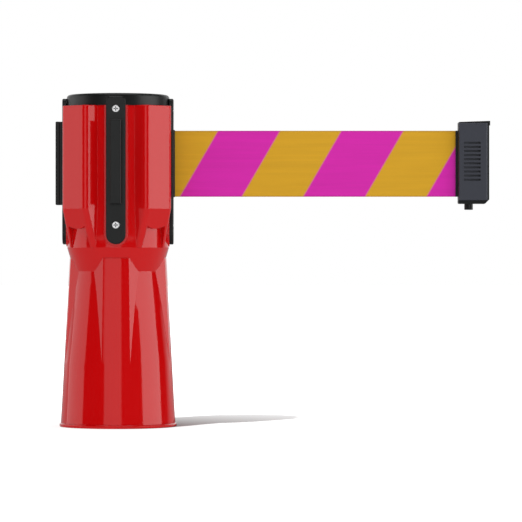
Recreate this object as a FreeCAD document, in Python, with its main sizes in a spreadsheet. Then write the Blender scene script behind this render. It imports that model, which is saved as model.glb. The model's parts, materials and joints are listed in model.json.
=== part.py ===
"""Retractable belt barrier head that stands on the tip of a traffic cone.

Millimetres.  The origin is the centre of the bottom rim, on the head's vertical axis.
+Z is up, +X is the side the belt leaves by, and -Y is the front.
"""
import FreeCAD, Part
import math
import os
import re

import Sketcher
from FreeCAD import Placement, Rotation, Vector

os.makedirs("parts", exist_ok=True)
doc = FreeCAD.newDocument("belt_barrier_head")

# ---------------------------------------------------------------- driving sizes
SIZES = {
    # skirt of the housing, from the rim up to the neck
    "rim_lip": 0.9,
    "rim_height": 2.6,
    "rim_round": 0.7,
    "skirt_flare": 6.8,
    "skirt_wall": 2.5,
    "neck_top": 135.2,
    "neck_height": 17.8,
    "pilaster_overlap": 10.0,
    "recess_foot": 48.6,
    "pilaster_depth": 3.3,
    "recess_bulge": 1.1,
    "recess_half_angle": 29.9,
    "relief_width": 16.0,
    # socket for the tip of the traffic cone, and the bulkhead above it
    "cone_tip_radius": 28.5,
    "cone_clearance": 1.0,
    "socket_length": 30.0,
    "socket_wall": 3.8,
    "bulkhead_rise": 2.8,
    "bulkhead_thickness": 3.0,
    # head of the housing
    "head_wall": 2.7,
    "neck_flare": 0.2,
    "lobe_proud": 7.6,
    "lobe_flat": 20.0,
    "lobe_edge": 4.0,
    "lobe_draft": 12.0,
    "lobe_rim_round": 0.6,
    "lobe_slope_height": 29.2,
    "lobe_toe_sunk": 0.6,
    "lobe_toe_flat": 21.4,
    "lobe_wall": 2.5,
    "scoop_height": 16.3,
    "scoop_top_width": 18.0,
    "scoop_foot_width": 21.4,
    "scoop_sag": 2.0,
    "pad_proud": 0.7,
    "pad_border": 1.5,
    # plates on the four sides, three with a rail and one with the belt mouth
    "plate_width": 14.6,
    "plate_thickness": 3.0,
    "plate_drop": 2.5,
    "plate_rise": 6.3,
    "plate_corner": 3.5,
    "plate_edge": 0.9,
    "rail_width": 8.35,
    "rail_depth": 2.85,
    "rail_edge": 0.9,
    "rail_stem_width": 5.0,
    "rail_stem_depth": 2.4,
    "rail_drop": 31.3,
    "rail_rise": 31.8,
    "mouth_gap": 0.65,
    "mouth_end_gap": 0.6,
    "jaw_width": 2.4,
    "jaw_proud": 1.1,
    # screws: receiver plates, cassette and belt end
    "screw_radius": 1.5,
    "screw_head_radius": 2.8,
    "screw_head_height": 1.75,
    "screw_proud": 0.25,
    "screw_depth": 11.0,
    "screw_clearance": 0.05,
    "screw_crown": 0.3,
    "cross_reach": 0.58,
    "cross_width": 0.3,
    "cross_floor": 0.4,
    "upper_screw_drop": 2.9,
    "lower_screw_rise": 16.8,
    "small_screw_radius": 1.1,
    "small_head_radius": 2.1,
    "small_head_height": 1.4,
    "small_screw_length": 9.0,
    # cap
    "cap_overhang": 0.6,
    "cap_height": 9.1,
    "cap_edge": 2.6,
    "cap_wall": 2.5,
    "spigot_depth": 8.2,
    "spigot_wall": 2.4,
    "spigot_clearance": 0.2,
    # belt webbing
    "webbing_width": 50.0,
    "webbing_thickness": 0.5,
    "webbing_length": 3000.0,
    "webbing_drawn": 212.5,
    "webbing_side_gap": 0.3,
    # cassette: base, posts, cover, shaft and guide pins
    "base_thickness": 3.0,
    "base_clearance": 0.3,
    "base_ring_wall": 2.3,
    "base_ring_height": 19.0,
    "boss_width": 8.0,
    "boss_depth": 4.9,
    "hub_boss_radius": 6.0,
    "hub_boss_height": 6.2,
    "post_radius": 2.4,
    "post_gap": 1.6,
    "post_side_gap": 1.0,
    "cover_thickness": 2.5,
    "cover_gap": 2.8,
    "cap_headroom": 2.0,
    "shaft_radius": 3.0,
    "shaft_seat": 2.0,
    "seat_clearance": 0.02,
    "running_clearance": 0.06,
    "running_gap": 0.3,
    "clip_radius": 5.2,
    "clip_thickness": 0.8,
    "clip_groove": 0.6,
    "clip_opening": 1.4,
    "guide_pin_radius": 1.75,
    "guide_pin_gap": 1.5,
    "guide_seat_drop": 5.9,
    "guide_seat_depth": 8.0,
    "guide_seat_width": 10.0,
    "guide_touch": 0.1,
    # reel and its clock spring
    "hub_radius": 12.0,
    "hub_wall": 2.5,
    "flange_margin": 3.0,
    "flange_thickness": 2.0,
    "drum_wall": 1.6,
    "drum_lid": 1.5,
    "spring_width": 20.0,
    "spring_side_gap": 1.3,
    "spring_strip": 0.5,
    "spring_turns": 11.0,
    "hub_plug_depth": 3.0,
    "anchor_pin_radius": 1.4,
    "anchor_slot": 1.1,
    # belt end
    "collar_depth": 1.9,
    "collar_thickness": 6.0,
    "grip_length": 23.4,
    "grip_drop": 30.4,
    "grip_rise": 32.3,
    "grip_fall": 0.8,
    "core_thickness": 12.0,
    "core_chamfer": 3.2,
    "lip_height": 3.4,
    "lip_proud": 0.7,
    "grip_round": 1.2,
    "cover_depth": 2.5,
    "cover_left_margin": 0.3,
    "cover_right_margin": 1.4,
    "cover_foot_margin": 2.6,
    "cover_top_margin": 1.6,
    "cover_round": 1.0,
    "groove_count": 10.0,
    "groove_pitch": 3.1,
    "groove_height": 1.5,
    "groove_shallow": 0.8,
    "groove_deep": 1.6,
    "groove_length": 12.7,
    "groove_inset": 4.0,
    "groove_rise": 15.6,
    "slot_clearance": 0.35,
    "slot_roof": 2.5,
    "clamp_pin_inset": 1.7,
    "clamp_pin_radius": 1.1,
    "clamp_pin_rise": 4.0,
    "belt_slot": 1.0,
    # lock plunger in the belt end
    "plunger_inset": 8.1,
    "plunger_radius": 3.25,
    "plunger_proud": 4.5,
    "plunger_collar": 0.65,
    "plunger_collar_height": 2.0,
    "plunger_floor": 4.0,
    "plunger_clearance": 0.1,
    "plunger_chamber": 17.5,
    "plunger_flute": 0.6,
    "plunger_flutes": 8.0,
    "coil_radius": 2.5,
    "coil_wire": 0.6,
    "coil_turns": 6.0,
    "grip_screw_inset": 14.7,
    "grip_screw_spread": 40.0,
}

dims = doc.addObject("Spreadsheet::Sheet", "dims")
for row, (alias, value) in enumerate(SIZES.items(), start=1):
    dims.set(f"A{row}", alias)
    dims.set(f"B{row}", str(value))
    dims.setAlias(f"B{row}", alias)
doc.recompute()

# ---------------------------------------------------------------- what follows from them
FOLLOWS = {
    # heights, from the rim upwards
    "recess_top": "neck_top - neck_height",
    "pilaster_top": "recess_top + pilaster_overlap",
    "recess_top_radius": "socket_radius + socket_wall",
    "skirt_top_radius": "recess_top_radius + pilaster_depth",
    "skirt_base_radius": "skirt_top_radius + skirt_flare",
    "rim_radius": "skirt_base_radius + rim_lip",
    "skirt_slope": "(skirt_base_radius - skirt_top_radius) / (pilaster_top - rim_height)",
    "recess_foot_radius": "skirt_base_radius - skirt_slope * (recess_foot - rim_height)",
    "recess_slope": "(recess_foot_radius - recess_top_radius) / (recess_top - recess_foot)",
    "recess_flat_top": "recess_top_radius - recess_bulge",
    "recess_flat_foot": "recess_foot_radius * cos(recess_half_angle)",
    "flat_slope": "(recess_flat_foot - recess_flat_top) / (recess_top - recess_foot)",
    "bulkhead_top": "neck_top + bulkhead_rise",
    "bulkhead_foot": "bulkhead_top - bulkhead_thickness",
    "socket_foot": "bulkhead_foot - socket_length",
    "base_top": "bulkhead_top + base_thickness",
    "hub_boss_top": "base_top + hub_boss_height",
    "drum_foot": "hub_boss_top + running_gap",
    "spring_foot": "drum_foot + drum_lid + spring_side_gap",
    "flange_foot": "spring_foot + spring_width + spring_side_gap",
    "reel_floor": "flange_foot + flange_thickness",
    "belt_foot": "reel_floor + webbing_side_gap",
    "belt_top": "belt_foot + webbing_width",
    "belt_middle": "belt_foot + webbing_width / 2",
    "upper_flange_foot": "belt_top + webbing_side_gap",
    "upper_flange_top": "upper_flange_foot + flange_thickness",
    "clip_foot": "upper_flange_top + running_gap",
    "cover_foot": "upper_flange_top + cover_gap",
    "cover_top": "cover_foot + cover_thickness",
    "spigot_foot": "cover_top + cap_headroom",
    "head_top": "spigot_foot + spigot_depth",
    "cap_top": "head_top + cap_height",
    "upper_screw": "head_top - upper_screw_drop",
    "lower_screw": "neck_top + lower_screw_rise",
    "guide_seat_top": "belt_foot - guide_seat_drop",
    # distances from the axis, from the reel outwards
    "roll_radius": "sqrt(hub_radius ^ 2 + (webbing_length - webbing_drawn) * webbing_thickness / pi)",
    "full_roll_radius": "sqrt(hub_radius ^ 2 + webbing_length * webbing_thickness / pi)",
    "flange_radius": "full_roll_radius + flange_margin",
    "guide_distance": "flange_radius + guide_pin_gap + guide_pin_radius",
    "guide_offset": "guide_pin_radius + guide_touch + webbing_thickness / 2",
    "post_distance": "flange_radius + post_gap + post_radius",
    "base_radius": "post_distance + post_radius + post_side_gap",
    "head_bore": "base_radius + base_clearance",
    "core_radius": "head_bore + head_wall",
    "neck_top_radius": "core_radius + neck_flare",
    "cap_radius": "core_radius + cap_overhang",
    "pad_face": "core_radius + pad_proud",
    "plate_face": "pad_face + plate_thickness",
    "lobe_face": "core_radius + lobe_proud",
    "socket_radius": "cone_tip_radius + cone_clearance",
    "screw_seat": "plate_face - screw_head_height + screw_proud",
    # plates
    "plate_foot": "neck_top + plate_drop",
    "plate_top": "head_top + plate_rise",
    "rail_foot": "belt_middle - rail_drop",
    "rail_top": "belt_middle + rail_rise",
    "rail_neck": "plate_face + rail_stem_depth",
    "rail_face": "rail_neck + rail_depth",
    # belt end, from the belt's collar outwards
    "mouth_face": "plate_face + jaw_proud",
    "collar_left": "mouth_face + webbing_drawn",
    "grip_left": "collar_left + collar_depth",
    "grip_right": "grip_left + grip_length",
    "grip_foot": "belt_middle - grip_drop",
    "grip_top": "belt_middle + grip_rise",
    "slot_neck": "grip_right - rail_stem_depth + slot_clearance",
    "slot_back": "grip_right - rail_stem_depth - rail_depth - 2 * slot_clearance",
    "clamp_x": "grip_left + clamp_pin_inset",
    "clamp_bore": "clamp_pin_radius + webbing_thickness + 0.6 * webbing_thickness",
    "plunger_x": "grip_left + plunger_inset",
    "plunger_foot": "grip_foot - plunger_proud",
    "chamber_foot": "grip_foot + plunger_floor",
    "chamber_top": "chamber_foot + plunger_chamber",
    "collar_radius": "plunger_radius + plunger_collar",
    "collar_foot": "chamber_foot + plunger_clearance",
    "collar_top": "collar_foot + plunger_collar_height",
    "grip_screw_x": "grip_left + grip_screw_inset",
}


def formula(text):
    """Turn words into sheet cells, so that an expression can be read and still be bound."""
    def swap(match):
        word = match.group()
        if word in SIZES:
            return "dims." + word
        if word in FOLLOWS:
            return "(" + formula(FOLLOWS[word]) + ")"
        return word
    return re.sub(r"[a-z][a-z_]*", swap, text)


def number(text):
    return float(dims.evalExpression(formula(text)))


def bind(thing, **sizes):
    """Bind properties to formulas; a double underscore stands for the dot in a property path."""
    for path, text in sizes.items():
        thing.setExpression(path.replace("__", "."), formula(text))
    return thing


# ---------------------------------------------------------------- solids from primitives
def block(name, x, y, z):
    """A box between pairs of formulas along each axis."""
    box = doc.addObject("Part::Box", name)
    return bind(box, Length=f"({x[1]}) - ({x[0]})", Width=f"({y[1]}) - ({y[0]})",
                Height=f"({z[1]}) - ({z[0]})", Placement__Base__x=x[0],
                Placement__Base__y=y[0], Placement__Base__z=z[0])


def middle_block(name, x, width, z):
    """A box centred on the plane Y = 0."""
    return block(name, x, (f"-({width}) / 2", f"({width}) / 2"), z)


def rod(name, radius, z, x="0", y="0"):
    """A cylinder along Z."""
    cylinder = doc.addObject("Part::Cylinder", name)
    return bind(cylinder, Radius=radius, Height=f"({z[1]}) - ({z[0]})", Placement__Base__x=x,
                Placement__Base__y=y, Placement__Base__z=z[0])


def side_rod(name, radius, x, z, y="0"):
    """A cylinder along X."""
    cylinder = doc.addObject("Part::Cylinder", name)
    cylinder.Placement = Placement(Vector(), Rotation(Vector(0, 1, 0), 90))
    return bind(cylinder, Radius=radius, Height=f"({x[1]}) - ({x[0]})", Placement__Base__x=x[0],
                Placement__Base__y=y, Placement__Base__z=z)


def frustum(name, foot_radius, top_radius, z):
    cone = doc.addObject("Part::Cone", name)
    return bind(cone, Radius1=foot_radius, Radius2=top_radius, Height=f"({z[1]}) - ({z[0]})",
                Placement__Base__z=z[0])


def fuse(name, shapes):
    joined = doc.addObject("Part::MultiFuse", name)
    joined.Shapes = shapes
    return joined


def common(name, shapes):
    shared = doc.addObject("Part::MultiCommon", name)
    shared.Shapes = shapes
    return shared


def cut(name, base, tools):
    trimmed = doc.addObject("Part::Cut", name)
    trimmed.Base = base
    trimmed.Tool = tools[0] if len(tools) == 1 else fuse(name + "_tools", tools)
    return trimmed


def turned_copy(thing, angle):
    """A linked copy turned about the head's axis."""
    link = doc.addObject("App::Link", f"{thing.Name}_at_{int(angle)}")
    link.LinkedObject = thing
    link.LinkTransform = True
    link.Placement = Placement(Vector(), Rotation(Vector(0, 0, 1), angle))
    return link


def placed_copy(thing, name, place):
    link = doc.addObject("App::Link", name)
    link.LinkedObject = thing
    link.LinkTransform = True
    link.Placement = place
    return link


def group(name, shapes):
    """Separate solids that share one node."""
    compound = doc.addObject("Part::Compound", name)
    compound.Links = shapes
    return compound


CARDINALS = (0, 90, 180, 270)
DIAGONALS = (45, 135, 225, 315)


# ---------------------------------------------------------------- bodies from sketches
def outline(body, name, role, corners, lift="0"):
    """A closed sketch whose corners are formulas; a third entry bends the edge that follows.

    A positive radius bends it anticlockwise, and a minus sign in front bends it clockwise.
    """
    sketch = body.newObject("Sketcher::SketchObject", name)
    plane = [part for part in body.Origin.OriginFeatures if part.Role == role][0]
    sketch.AttachmentSupport = [(plane, "")]
    sketch.MapMode = "FlatFace"
    bind(sketch, AttachmentOffset__Base__z=lift)
    points = [Vector(number(corner[0]), number(corner[1]), 0) for corner in corners]
    count = len(corners)
    ends = []
    for index, corner in enumerate(corners):
        start = points[index]
        finish = points[(index + 1) % count]
        if len(corner) == 2:
            edge = sketch.addGeometry(Part.LineSegment(start, finish))
            ends.append((edge, 1, 2))
            continue
        clockwise = corner[2].startswith("-")
        radius_text = corner[2].lstrip("-")
        radius = number(radius_text)
        first, last = (finish, start) if clockwise else (start, finish)
        chord = last - first
        sideways = Vector(-chord.y, chord.x, 0).normalize()
        centre = first + chord / 2 + sideways * math.sqrt(max(radius ** 2 - chord.Length ** 2 / 4, 0))
        angles = [math.atan2(point.y - centre.y, point.x - centre.x) for point in (first, last)]
        circle = Part.Circle(centre, Vector(0, 0, 1), radius)
        edge = sketch.addGeometry(Part.ArcOfCircle(circle, angles[0], angles[1]))
        ends.append((edge, 2, 1) if clockwise else (edge, 1, 2))
        held = sketch.addConstraint(Sketcher.Constraint("Radius", edge, radius))
        sketch.setExpression(f"Constraints[{held}]", formula(radius_text))
    for index in range(count):
        edge, first_end, last_end = ends[index]
        following = ends[(index + 1) % count]
        sketch.addConstraint(Sketcher.Constraint("Coincident", edge, last_end, following[0], following[1]))
        for kind, text in zip(("DistanceX", "DistanceY"), corners[index]):
            held = sketch.addConstraint(Sketcher.Constraint(kind, edge, first_end, number(text)))
            sketch.setExpression(f"Constraints[{held}]", formula(text))
    return sketch


def new_body(name):
    return doc.addObject("PartDesign::Body", name)


def turn(body, name, corners):
    """Revolve an outline of (distance from the axis, height) about Z."""
    sketch = outline(body, name + "_outline", "XZ_Plane", corners)
    feature = body.newObject("PartDesign::Revolution", name)
    feature.Profile = sketch
    feature.ReferenceAxis = (sketch, ["V_Axis"])
    feature.Angle = 360
    doc.recompute()
    return feature


def pad(body, name, role, corners, low, high):
    """Pad an outline between two distances along its plane's normal."""
    sketch = outline(body, name + "_outline", role, corners, low)
    feature = body.newObject("PartDesign::Pad", name)
    feature.Profile = sketch
    bind(feature, Length=f"({high}) - ({low})")
    doc.recompute()
    return feature


def pocket(body, name, role, corners, low, high):
    """Cut an outline from the far distance down to the near one."""
    sketch = outline(body, name + "_outline", role, corners, high)
    feature = body.newObject("PartDesign::Pocket", name)
    feature.Profile = sketch
    bind(feature, Length=f"({high}) - ({low})")
    before = body.Shape.Volume
    doc.recompute()
    if body.Shape.Volume > before - 1e-6:
        raise RuntimeError(f"{name} cuts nothing")
    return feature


def loft(body, name, role, first, second, low, high):
    """A straight loft between two outlines at two distances."""
    feature = body.newObject("PartDesign::AdditiveLoft", name)
    feature.Profile = outline(body, name + "_from", role, first, low)
    feature.Sections = [outline(body, name + "_to", role, second, high)]
    feature.Ruled = True
    doc.recompute()
    return feature


def soften(body, name, radius, wanted):
    """Fillet the edges of a body that pass a test."""
    doc.recompute()
    tip = body.Tip
    names = [f"Edge{index}" for index, edge in enumerate(tip.Shape.Edges, start=1) if wanted(edge)]
    feature = body.newObject("PartDesign::Fillet", name)
    feature.Base = (tip, names)
    bind(feature, Radius=radius)
    doc.recompute()
    return feature


def lies_at(edge, axis, place, slack=1e-3):
    """Whether an edge lies wholly in the plane where a coordinate has a value."""
    spots = [edge.valueAt(at) for at in (edge.FirstParameter, edge.LastParameter,
                                         (edge.FirstParameter + edge.LastParameter) / 2)]
    return all(abs(getattr(spot, axis) - place) < slack for spot in spots)


def rectangle(u, v):
    return [(u[0], v[0]), (u[1], v[0]), (u[1], v[1]), (u[0], v[1])]


def tongue(half, foot, top, corner=None):
    """A strip with a round foot, and square or rounded corners at the top."""
    points = [(f"-({half})", f"({foot}) + ({half})", half), ("0", foot, half),
              (half, f"({foot}) + ({half})")]
    if corner is None:
        return points + [(half, top), (f"-({half})", top)]
    return points + [(half, f"({top}) - {corner}", corner), (f"({half}) - {corner}", top),
                     (f"-({half}) + {corner}", top, corner), (f"-({half})", f"({top}) - {corner}")]


def circle_at(u, v, radius):
    """A circle as two half turns."""
    return [(f"({u}) - ({radius})", v, radius), (u, f"({v}) - ({radius})", radius),
            (f"({u}) + ({radius})", v, radius), (u, f"({v}) + ({radius})", radius)]


def screw(name, radius, head_radius, head_height, length):
    """A cross-recessed screw along Z with a low flat head, its seat at the origin and head above."""
    blank = new_body(name + "_blank")
    turn(blank, name + "_turning", [
        ("0", f"-({length})"), (f"({radius}) * 0.6", f"-({length})"),
        (radius, f"-({length}) + {radius}"), (radius, "0"), (head_radius, "0"),
        (head_radius, f"{head_height} - {head_height} * screw_crown", f"{head_height} * screw_crown"),
        (f"{head_radius} - {head_height} * screw_crown", head_height), ("0", head_height)])
    arm = f"{head_radius} * cross_reach"
    half = f"{head_radius} * cross_width / 2"
    depth = (f"{head_height} * cross_floor", f"{head_height} + 1")
    arms = [block(name + "_recess_a", (f"-{arm}", arm), (f"-{half}", half), depth),
            block(name + "_recess_b", (f"-{half}", half), (f"-{arm}", arm), depth)]
    return cut(name, blank, arms)


SUBPARTS = {}


def keep(node, thing):
    """Name the object that is written out as one node."""
    thing.Label = node
    SUBPARTS[node] = thing
    return thing


# ---------------------------------------------------------------- housing
def lobe_outline(flat, face):
    """Plan of a corner lobe that points along +X and widens towards its root in the core."""
    root = "head_bore * 0.8"
    shoulder = f"({face}) - lobe_edge + lobe_edge * sin(lobe_draft)"
    half = f"({flat}) / 2"
    shoulder_half = f"({flat}) / 2 + lobe_edge * cos(lobe_draft)"
    root_half = f"({shoulder_half}) + ({shoulder} - {root}) * tan(lobe_draft)"
    return [(root, f"-({root_half})"), (shoulder, f"-({shoulder_half})", "lobe_edge"),
            (face, f"-({half})"), (face, half, "lobe_edge"), (shoulder, shoulder_half),
            (root, root_half)]


def corner_lobe():
    """A flat-faced lobe that slopes back to the neck, with a scooped window in the slope."""
    lobe = new_body("lobe")
    top = "neck_top + lobe_slope_height"
    pad(lobe, "lobe_column", "XY_Plane", lobe_outline("lobe_flat", "lobe_face"), top, "head_top")
    loft(lobe, "lobe_slope", "XY_Plane", lobe_outline("lobe_flat", "lobe_face"),
         lobe_outline("lobe_toe_flat", "core_radius - lobe_toe_sunk"), top, "neck_top")
    scoop_radius = "((scoop_top_width / 2) ^ 2 + scoop_sag ^ 2) / (2 * scoop_sag)"
    pocket(lobe, "lobe_scoop", "YZ_Plane", [
        ("-scoop_foot_width / 2", "neck_top - 1"), ("scoop_foot_width / 2", "neck_top - 1"),
        ("scoop_top_width / 2", "neck_top + scoop_height", "-" + scoop_radius),
        ("-scoop_top_width / 2", "neck_top + scoop_height")], "head_bore * 0.8 - 1", "lobe_face + 1")
    rim = number("head_top")
    soften(lobe, "lobe_rim", "lobe_rim_round", lambda edge: lies_at(edge, "z", rim))
    return lobe


def side_pad():
    """The raised flat that each plate is screwed down on, pointing along +X."""
    flat = new_body("side_pad")
    pad(flat, "side_pad_flat", "YZ_Plane",
        tongue("plate_width / 2 + pad_border", "plate_foot - pad_border", "head_top"),
        "head_bore * 0.9", "pad_face")
    return flat


def housing():
    outside = new_body("housing_outside")
    turn(outside, "housing_turning", [
        ("0", "0"), ("rim_radius - rim_round", "0", "rim_round"), ("rim_radius", "rim_round"),
        ("rim_radius", "rim_height - rim_round", "rim_round"),
        ("rim_radius - rim_round", "rim_height"), ("skirt_base_radius", "rim_height"),
        ("recess_foot_radius", "recess_foot"), ("recess_top_radius", "recess_top"),
        ("neck_top_radius", "neck_top"), ("core_radius", "head_top"), ("0", "head_top")])

    square = new_body("pilaster_square")
    foot_half = "recess_flat_foot"
    top_half = "recess_flat_foot - flat_slope * (pilaster_top - recess_foot)"
    loft(square, "pilaster_loft", "XY_Plane",
         rectangle((f"-({foot_half})", foot_half), (f"-({foot_half})", foot_half)),
         rectangle((f"-({top_half})", top_half), (f"-({top_half})", top_half)),
         "recess_foot", "pilaster_top")
    square.Placement = Placement(Vector(), Rotation(Vector(0, 0, 1), 45))
    skirt = frustum("pilaster_cone", "recess_foot_radius", "skirt_top_radius",
                    ("recess_foot", "pilaster_top"))
    pilasters = common("pilasters", [skirt, square])

    lobe = corner_lobe()
    flat = side_pad()
    around = [turned_copy(lobe, angle) for angle in DIAGONALS]
    around += [turned_copy(flat, angle) for angle in CARDINALS]
    solid = fuse("housing_solid", [outside, pilasters] + around)

    hollows = [
        rod("head_hollow", "head_bore", ("bulkhead_top", "head_top + 1")),
        rod("cone_socket", "socket_radius", ("socket_foot - 1", "bulkhead_foot")),
        frustum("upper_skirt_hollow", "recess_foot_radius - skirt_wall",
                "recess_foot_radius - skirt_wall - recess_slope * (socket_foot - recess_foot)",
                ("recess_foot", "socket_foot")),
        frustum("lower_skirt_hollow", "skirt_base_radius - skirt_wall + skirt_slope * (rim_height + 1)",
                "recess_foot_radius - skirt_wall", ("-1", "recess_foot")),
        common("pilaster_relief", [
            frustum("relief_cone", "recess_foot_radius - skirt_wall",
                    "recess_foot_radius - skirt_wall - skirt_slope * (socket_foot - recess_foot)",
                    ("recess_foot", "socket_foot - skirt_wall")),
            fuse("relief_cross", [
                block("relief_x", ("-rim_radius", "rim_radius"),
                      ("-relief_width / 2", "relief_width / 2"), ("recess_foot", "socket_foot")),
                block("relief_y", ("-relief_width / 2", "relief_width / 2"),
                      ("-rim_radius", "rim_radius"), ("recess_foot", "socket_foot"))])]),
        middle_block("belt_exit", ("head_bore - 2", "pad_face + 1"),
                     "2 * (guide_offset + guide_pin_radius * 0.4)",
                     ("belt_foot - 2 * mouth_end_gap", "belt_top + 2 * mouth_end_gap")),
    ]
    lobe_hollow = middle_block("lobe_hollow", ("head_bore * 0.85", "lobe_face - lobe_wall"),
                               "lobe_flat + lobe_edge - 2 * lobe_wall",
                               ("neck_top + lobe_slope_height + lobe_wall", "head_top - lobe_wall"))
    hollows += [turned_copy(lobe_hollow, angle) for angle in DIAGONALS]
    for level in ("upper_screw", "lower_screw"):
        hole = side_rod(f"{level}_hole", "screw_radius + screw_clearance",
                        ("head_bore - 2", "pad_face + 1"), level)
        hollows += [turned_copy(hole, angle) for angle in CARDINALS]
    return cut("housing", solid, hollows)


keep("housing", housing())


# ---------------------------------------------------------------- cap
def top_cap():
    spigot_outer = "head_bore - spigot_clearance"
    spigot_inner = "head_bore - spigot_clearance - spigot_wall"
    shell = new_body("cap_shell")
    turn(shell, "cap_turning", [
        ("0", "cap_top - cap_wall"), (spigot_inner, "cap_top - cap_wall"), (spigot_inner, "spigot_foot"),
        (spigot_outer, "spigot_foot"), (spigot_outer, "head_top"), ("cap_radius", "head_top"),
        ("cap_radius", "cap_top - cap_edge", "cap_edge"), ("cap_radius - cap_edge", "cap_top"),
        ("0", "cap_top")])
    boss = middle_block("cap_boss", ("base_radius - boss_depth", f"{spigot_inner} + spigot_wall / 2"),
                        "boss_width", ("spigot_foot + 1", "cap_top - cap_wall + 1"))
    hole = side_rod("cap_hole", "screw_radius + screw_clearance",
                    ("base_radius - boss_depth - 1", "cap_radius"), "upper_screw")
    solid = fuse("cap_solid", [shell] + [turned_copy(boss, angle) for angle in CARDINALS])
    return cut("top_cap", solid, [turned_copy(hole, angle) for angle in CARDINALS])


keep("top_cap", top_cap())


# ---------------------------------------------------------------- plates on the four sides
def side_plate(name):
    """A strip that points along +X, with its outer edges rounded and two screw seats."""
    plate = new_body(name)
    pad(plate, name + "_strip", "YZ_Plane",
        tongue("plate_width / 2", "plate_foot", "plate_top", "plate_corner"), "pad_face", "plate_face")
    face = number("plate_face")
    soften(plate, name + "_edge", "plate_edge", lambda edge: lies_at(edge, "x", face))
    for level in ("upper_screw", "lower_screw"):
        pocket(plate, f"{name}_{level}_seat", "YZ_Plane",
               circle_at("0", level, "screw_head_radius + screw_clearance"), "screw_seat", "plate_face + 1")
        pocket(plate, f"{name}_{level}_hole", "YZ_Plane",
               circle_at("0", level, "screw_radius + screw_clearance"), "pad_face - 1", "plate_face + 1")
    return plate


def receiver(name, angle):
    """A side plate with the T-shaped rail that another barrier's belt end slides down over."""
    plate = side_plate(name)
    upright = ("rail_foot", "rail_top")
    pad(plate, name + "_stem", "YZ_Plane",
        rectangle(("-rail_stem_width / 2", "rail_stem_width / 2"), upright),
        "plate_face - 1", "rail_neck + 1")
    pad(plate, name + "_rail", "YZ_Plane",
        rectangle(("-rail_width / 2", "rail_width / 2"), upright), "rail_neck", "rail_face")
    face = number("rail_face")
    soften(plate, name + "_rail_edge", "rail_edge", lambda edge: lies_at(edge, "x", face))
    plate.Placement = Placement(Vector(), Rotation(Vector(0, 0, 1), angle))
    return keep(name, plate)


def belt_mouth():
    """The side plate that the belt leaves through, with a raised jaw on each side of the slot."""
    plate = side_plate("belt_mouth")
    jaw_ends = ("belt_foot - mouth_end_gap / 2", "belt_top + mouth_end_gap")
    slot_ends = ("belt_foot - mouth_end_gap", "belt_top + mouth_end_gap")
    pad(plate, "mouth_jaws", "YZ_Plane",
        rectangle(("-mouth_gap - jaw_width", "mouth_gap + jaw_width"), jaw_ends),
        "plate_face - 1", "mouth_face")
    face = number("mouth_face")
    soften(plate, "jaw_edge", "jaw_proud * 0.6", lambda edge: lies_at(edge, "x", face))
    pocket(plate, "mouth_slot", "YZ_Plane", rectangle(("-mouth_gap", "mouth_gap"), slot_ends),
           "pad_face - 1", "mouth_face + 1")
    return keep("belt_mouth", plate)


receiver("rear_receiver", 90)
receiver("left_receiver", 180)
receiver("front_receiver", 270)
belt_mouth()


def receiver_screws():
    """Two screws through each plate: the upper into the cap, the lower into the cassette base."""
    blank = screw("plate_screw", "screw_radius", "screw_head_radius", "screw_head_height",
                  "screw_depth - screw_head_height")
    copies = []
    for angle in CARDINALS:
        for level in ("upper_screw", "lower_screw"):
            turned = Rotation(Vector(0, 0, 1), angle)
            seat = turned.multVec(Vector(number("screw_seat"), 0, number(level)))
            place = Placement(seat, turned.multiply(Rotation(Vector(0, 1, 0), 90)))
            copies.append(placed_copy(blank, f"{level}_{angle}", place))
    return group("receiver_screws", copies)


keep("receiver_screws", receiver_screws())


# ---------------------------------------------------------------- cassette
def post_places():
    """Centres of the four posts, as formulas."""
    reach = "post_distance * sqrt(0.5)"
    return [(f"{x}{reach}", f"{y}{reach}") for x in ("", "-") for y in ("", "-")]


def cassette_base():
    """A cup seated on the bulkhead, with posts for the cover and seats for shaft, pins and screws."""
    ring_inner = "base_radius - base_ring_wall"
    cup = new_body("base_cup")
    ring_top = "base_top + base_ring_height"
    turn(cup, "base_turning", [
        ("0", "bulkhead_top"), ("base_radius", "bulkhead_top"), ("base_radius", ring_top),
        (ring_inner, ring_top), (ring_inner, "base_top"),
        ("hub_boss_radius", "base_top"), ("hub_boss_radius", "hub_boss_top"), ("0", "hub_boss_top")])
    boss = middle_block("base_boss", ("base_radius - boss_depth", "base_radius - base_ring_wall / 2"),
                        "boss_width", ("base_top - 1", ring_top))
    bosses = [turned_copy(boss, angle) for angle in CARDINALS]
    posts = [rod(f"base_post_{index}", "post_radius", ("bulkhead_top + 1", "cover_foot"), x, y)
             for index, (x, y) in enumerate(post_places())]
    guide_seat = middle_block("guide_seat", ("flange_radius + guide_pin_gap / 2", "base_radius - 0.2"),
                              "guide_seat_width", ("bulkhead_top + 1", "guide_seat_top"))
    solid = fuse("base_solid", [cup, guide_seat] + posts + bosses)
    holes = [rod("shaft_seat_hole", "shaft_radius + seat_clearance",
                 ("base_top - shaft_seat", "hub_boss_top + 1"))]
    for side in ("-", ""):
        holes.append(rod(f"pin_seat{len(holes)}", "guide_pin_radius + seat_clearance",
                         ("guide_seat_top - guide_seat_depth", "guide_seat_top + 1"),
                         "guide_distance", f"{side}guide_offset"))
    for index, (x, y) in enumerate(post_places()):
        holes.append(rod(f"post_hole_{index}", "small_screw_radius + screw_clearance",
                         ("cover_foot - small_screw_length", "cover_foot + 1"), x, y))
    side_hole = side_rod("base_side_hole", "screw_radius + screw_clearance",
                         ("base_radius - boss_depth - 1", "base_radius + 1"), "lower_screw")
    holes += [turned_copy(side_hole, angle) for angle in CARDINALS]
    return cut("cassette_base", solid, holes)


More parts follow.
